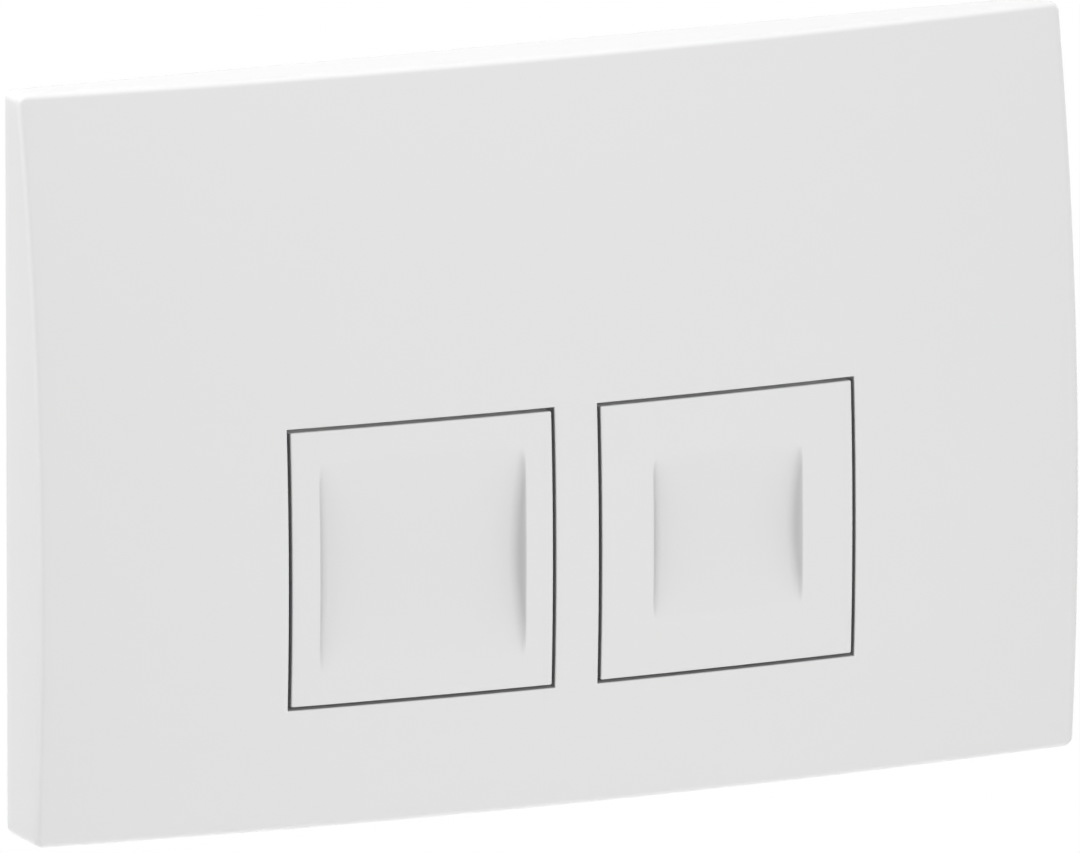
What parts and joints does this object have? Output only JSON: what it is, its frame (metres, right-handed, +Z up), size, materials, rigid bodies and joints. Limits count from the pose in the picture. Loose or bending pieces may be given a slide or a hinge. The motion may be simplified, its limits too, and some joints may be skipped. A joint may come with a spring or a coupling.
{
  "type": "flush button plate",
  "caption": "Crowned wall plate with two square tilting flush buttons, on a bolted frame with sprung plungers and push rods that work a concealed cistern.",
  "frame": {"origin": "centre of the plate's outline on the wall plane, where the frame's back lies on the wall", "axes": "+X to the right seen from the room, +Y into the wall, +Z up; the front faces -Y"},
  "size_m": [0.246, 0.1001, 0.164],
  "materials": {
    "cover_white": "glossy white moulded plastic",
    "button_white": "glossy white moulded plastic",
    "frame_grey": "dark grey textured moulded plastic",
    "pin_steel": "drawn steel",
    "plunger_natural": "natural sliding plastic",
    "rod_grey": "grey moulded plastic",
    "spring_steel": "drawn spring wire",
    "bush_natural": "natural sliding plastic",
    "bolt_zinc": "zinc-plated steel",
    "nut_black": "black moulded plastic"
  },
  "bodies": {
    "plate": {"cover_plate": "cover_white", "mounting_frame": "frame_grey", "full_flush_hinge_pin": "pin_steel", "part_flush_hinge_pin": "pin_steel", "full_flush_guide_bush": "bush_natural", "part_flush_guide_bush": "bush_natural", "full_flush_return_spring": "spring_steel", "part_flush_return_spring": "spring_steel", "fixing_bolt_left": "bolt_zinc", "fixing_bolt_right": "bolt_zinc", "fixing_washer_left": "bolt_zinc", "fixing_washer_right": "bolt_zinc", "fixing_nut_left": "nut_black", "fixing_nut_right": "nut_black"},
    "full_button": {"full_flush_button": "button_white"},
    "part_button": {"part_flush_button": "button_white"},
    "full_rod": {"full_flush_plunger": "plunger_natural", "full_flush_push_rod": "rod_grey"},
    "part_rod": {"part_flush_plunger": "plunger_natural", "part_flush_push_rod": "rod_grey"}
  },
  "joints": [
    {"name": "full_flush_press", "type": "hinge", "parent": "plate", "child": "full_button", "pos_m": [-0.036, -0.0188, 0.0015], "axis": [1, 0, 0], "range_deg": [0, 5], "stiffness_Nm_per_rad": 1.4, "springref_deg": -5.73},
    {"name": "part_flush_press", "type": "hinge", "parent": "plate", "child": "part_button", "pos_m": [0.036, -0.0188, 0.0015], "axis": [1, 0, 0], "range_deg": [0, 5], "stiffness_Nm_per_rad": 1.4, "springref_deg": -5.73},
    {"name": "full_flush_rod_slide", "type": "slide", "parent": "plate", "child": "full_rod", "axis": [0, 1, 0], "range_m": [0, 0.0035], "deforming": ["full_flush_return_spring"]},
    {"name": "part_flush_rod_slide", "type": "slide", "parent": "plate", "child": "part_rod", "axis": [0, 1, 0], "range_m": [0, 0.0035], "deforming": ["part_flush_return_spring"]}
  ],
  "couplings": [
    {"joint": "full_flush_rod_slide", "follows": "full_flush_press", "m_per_rad": 0.0397},
    {"joint": "part_flush_rod_slide", "follows": "part_flush_press", "m_per_rad": 0.0397}
  ]
}
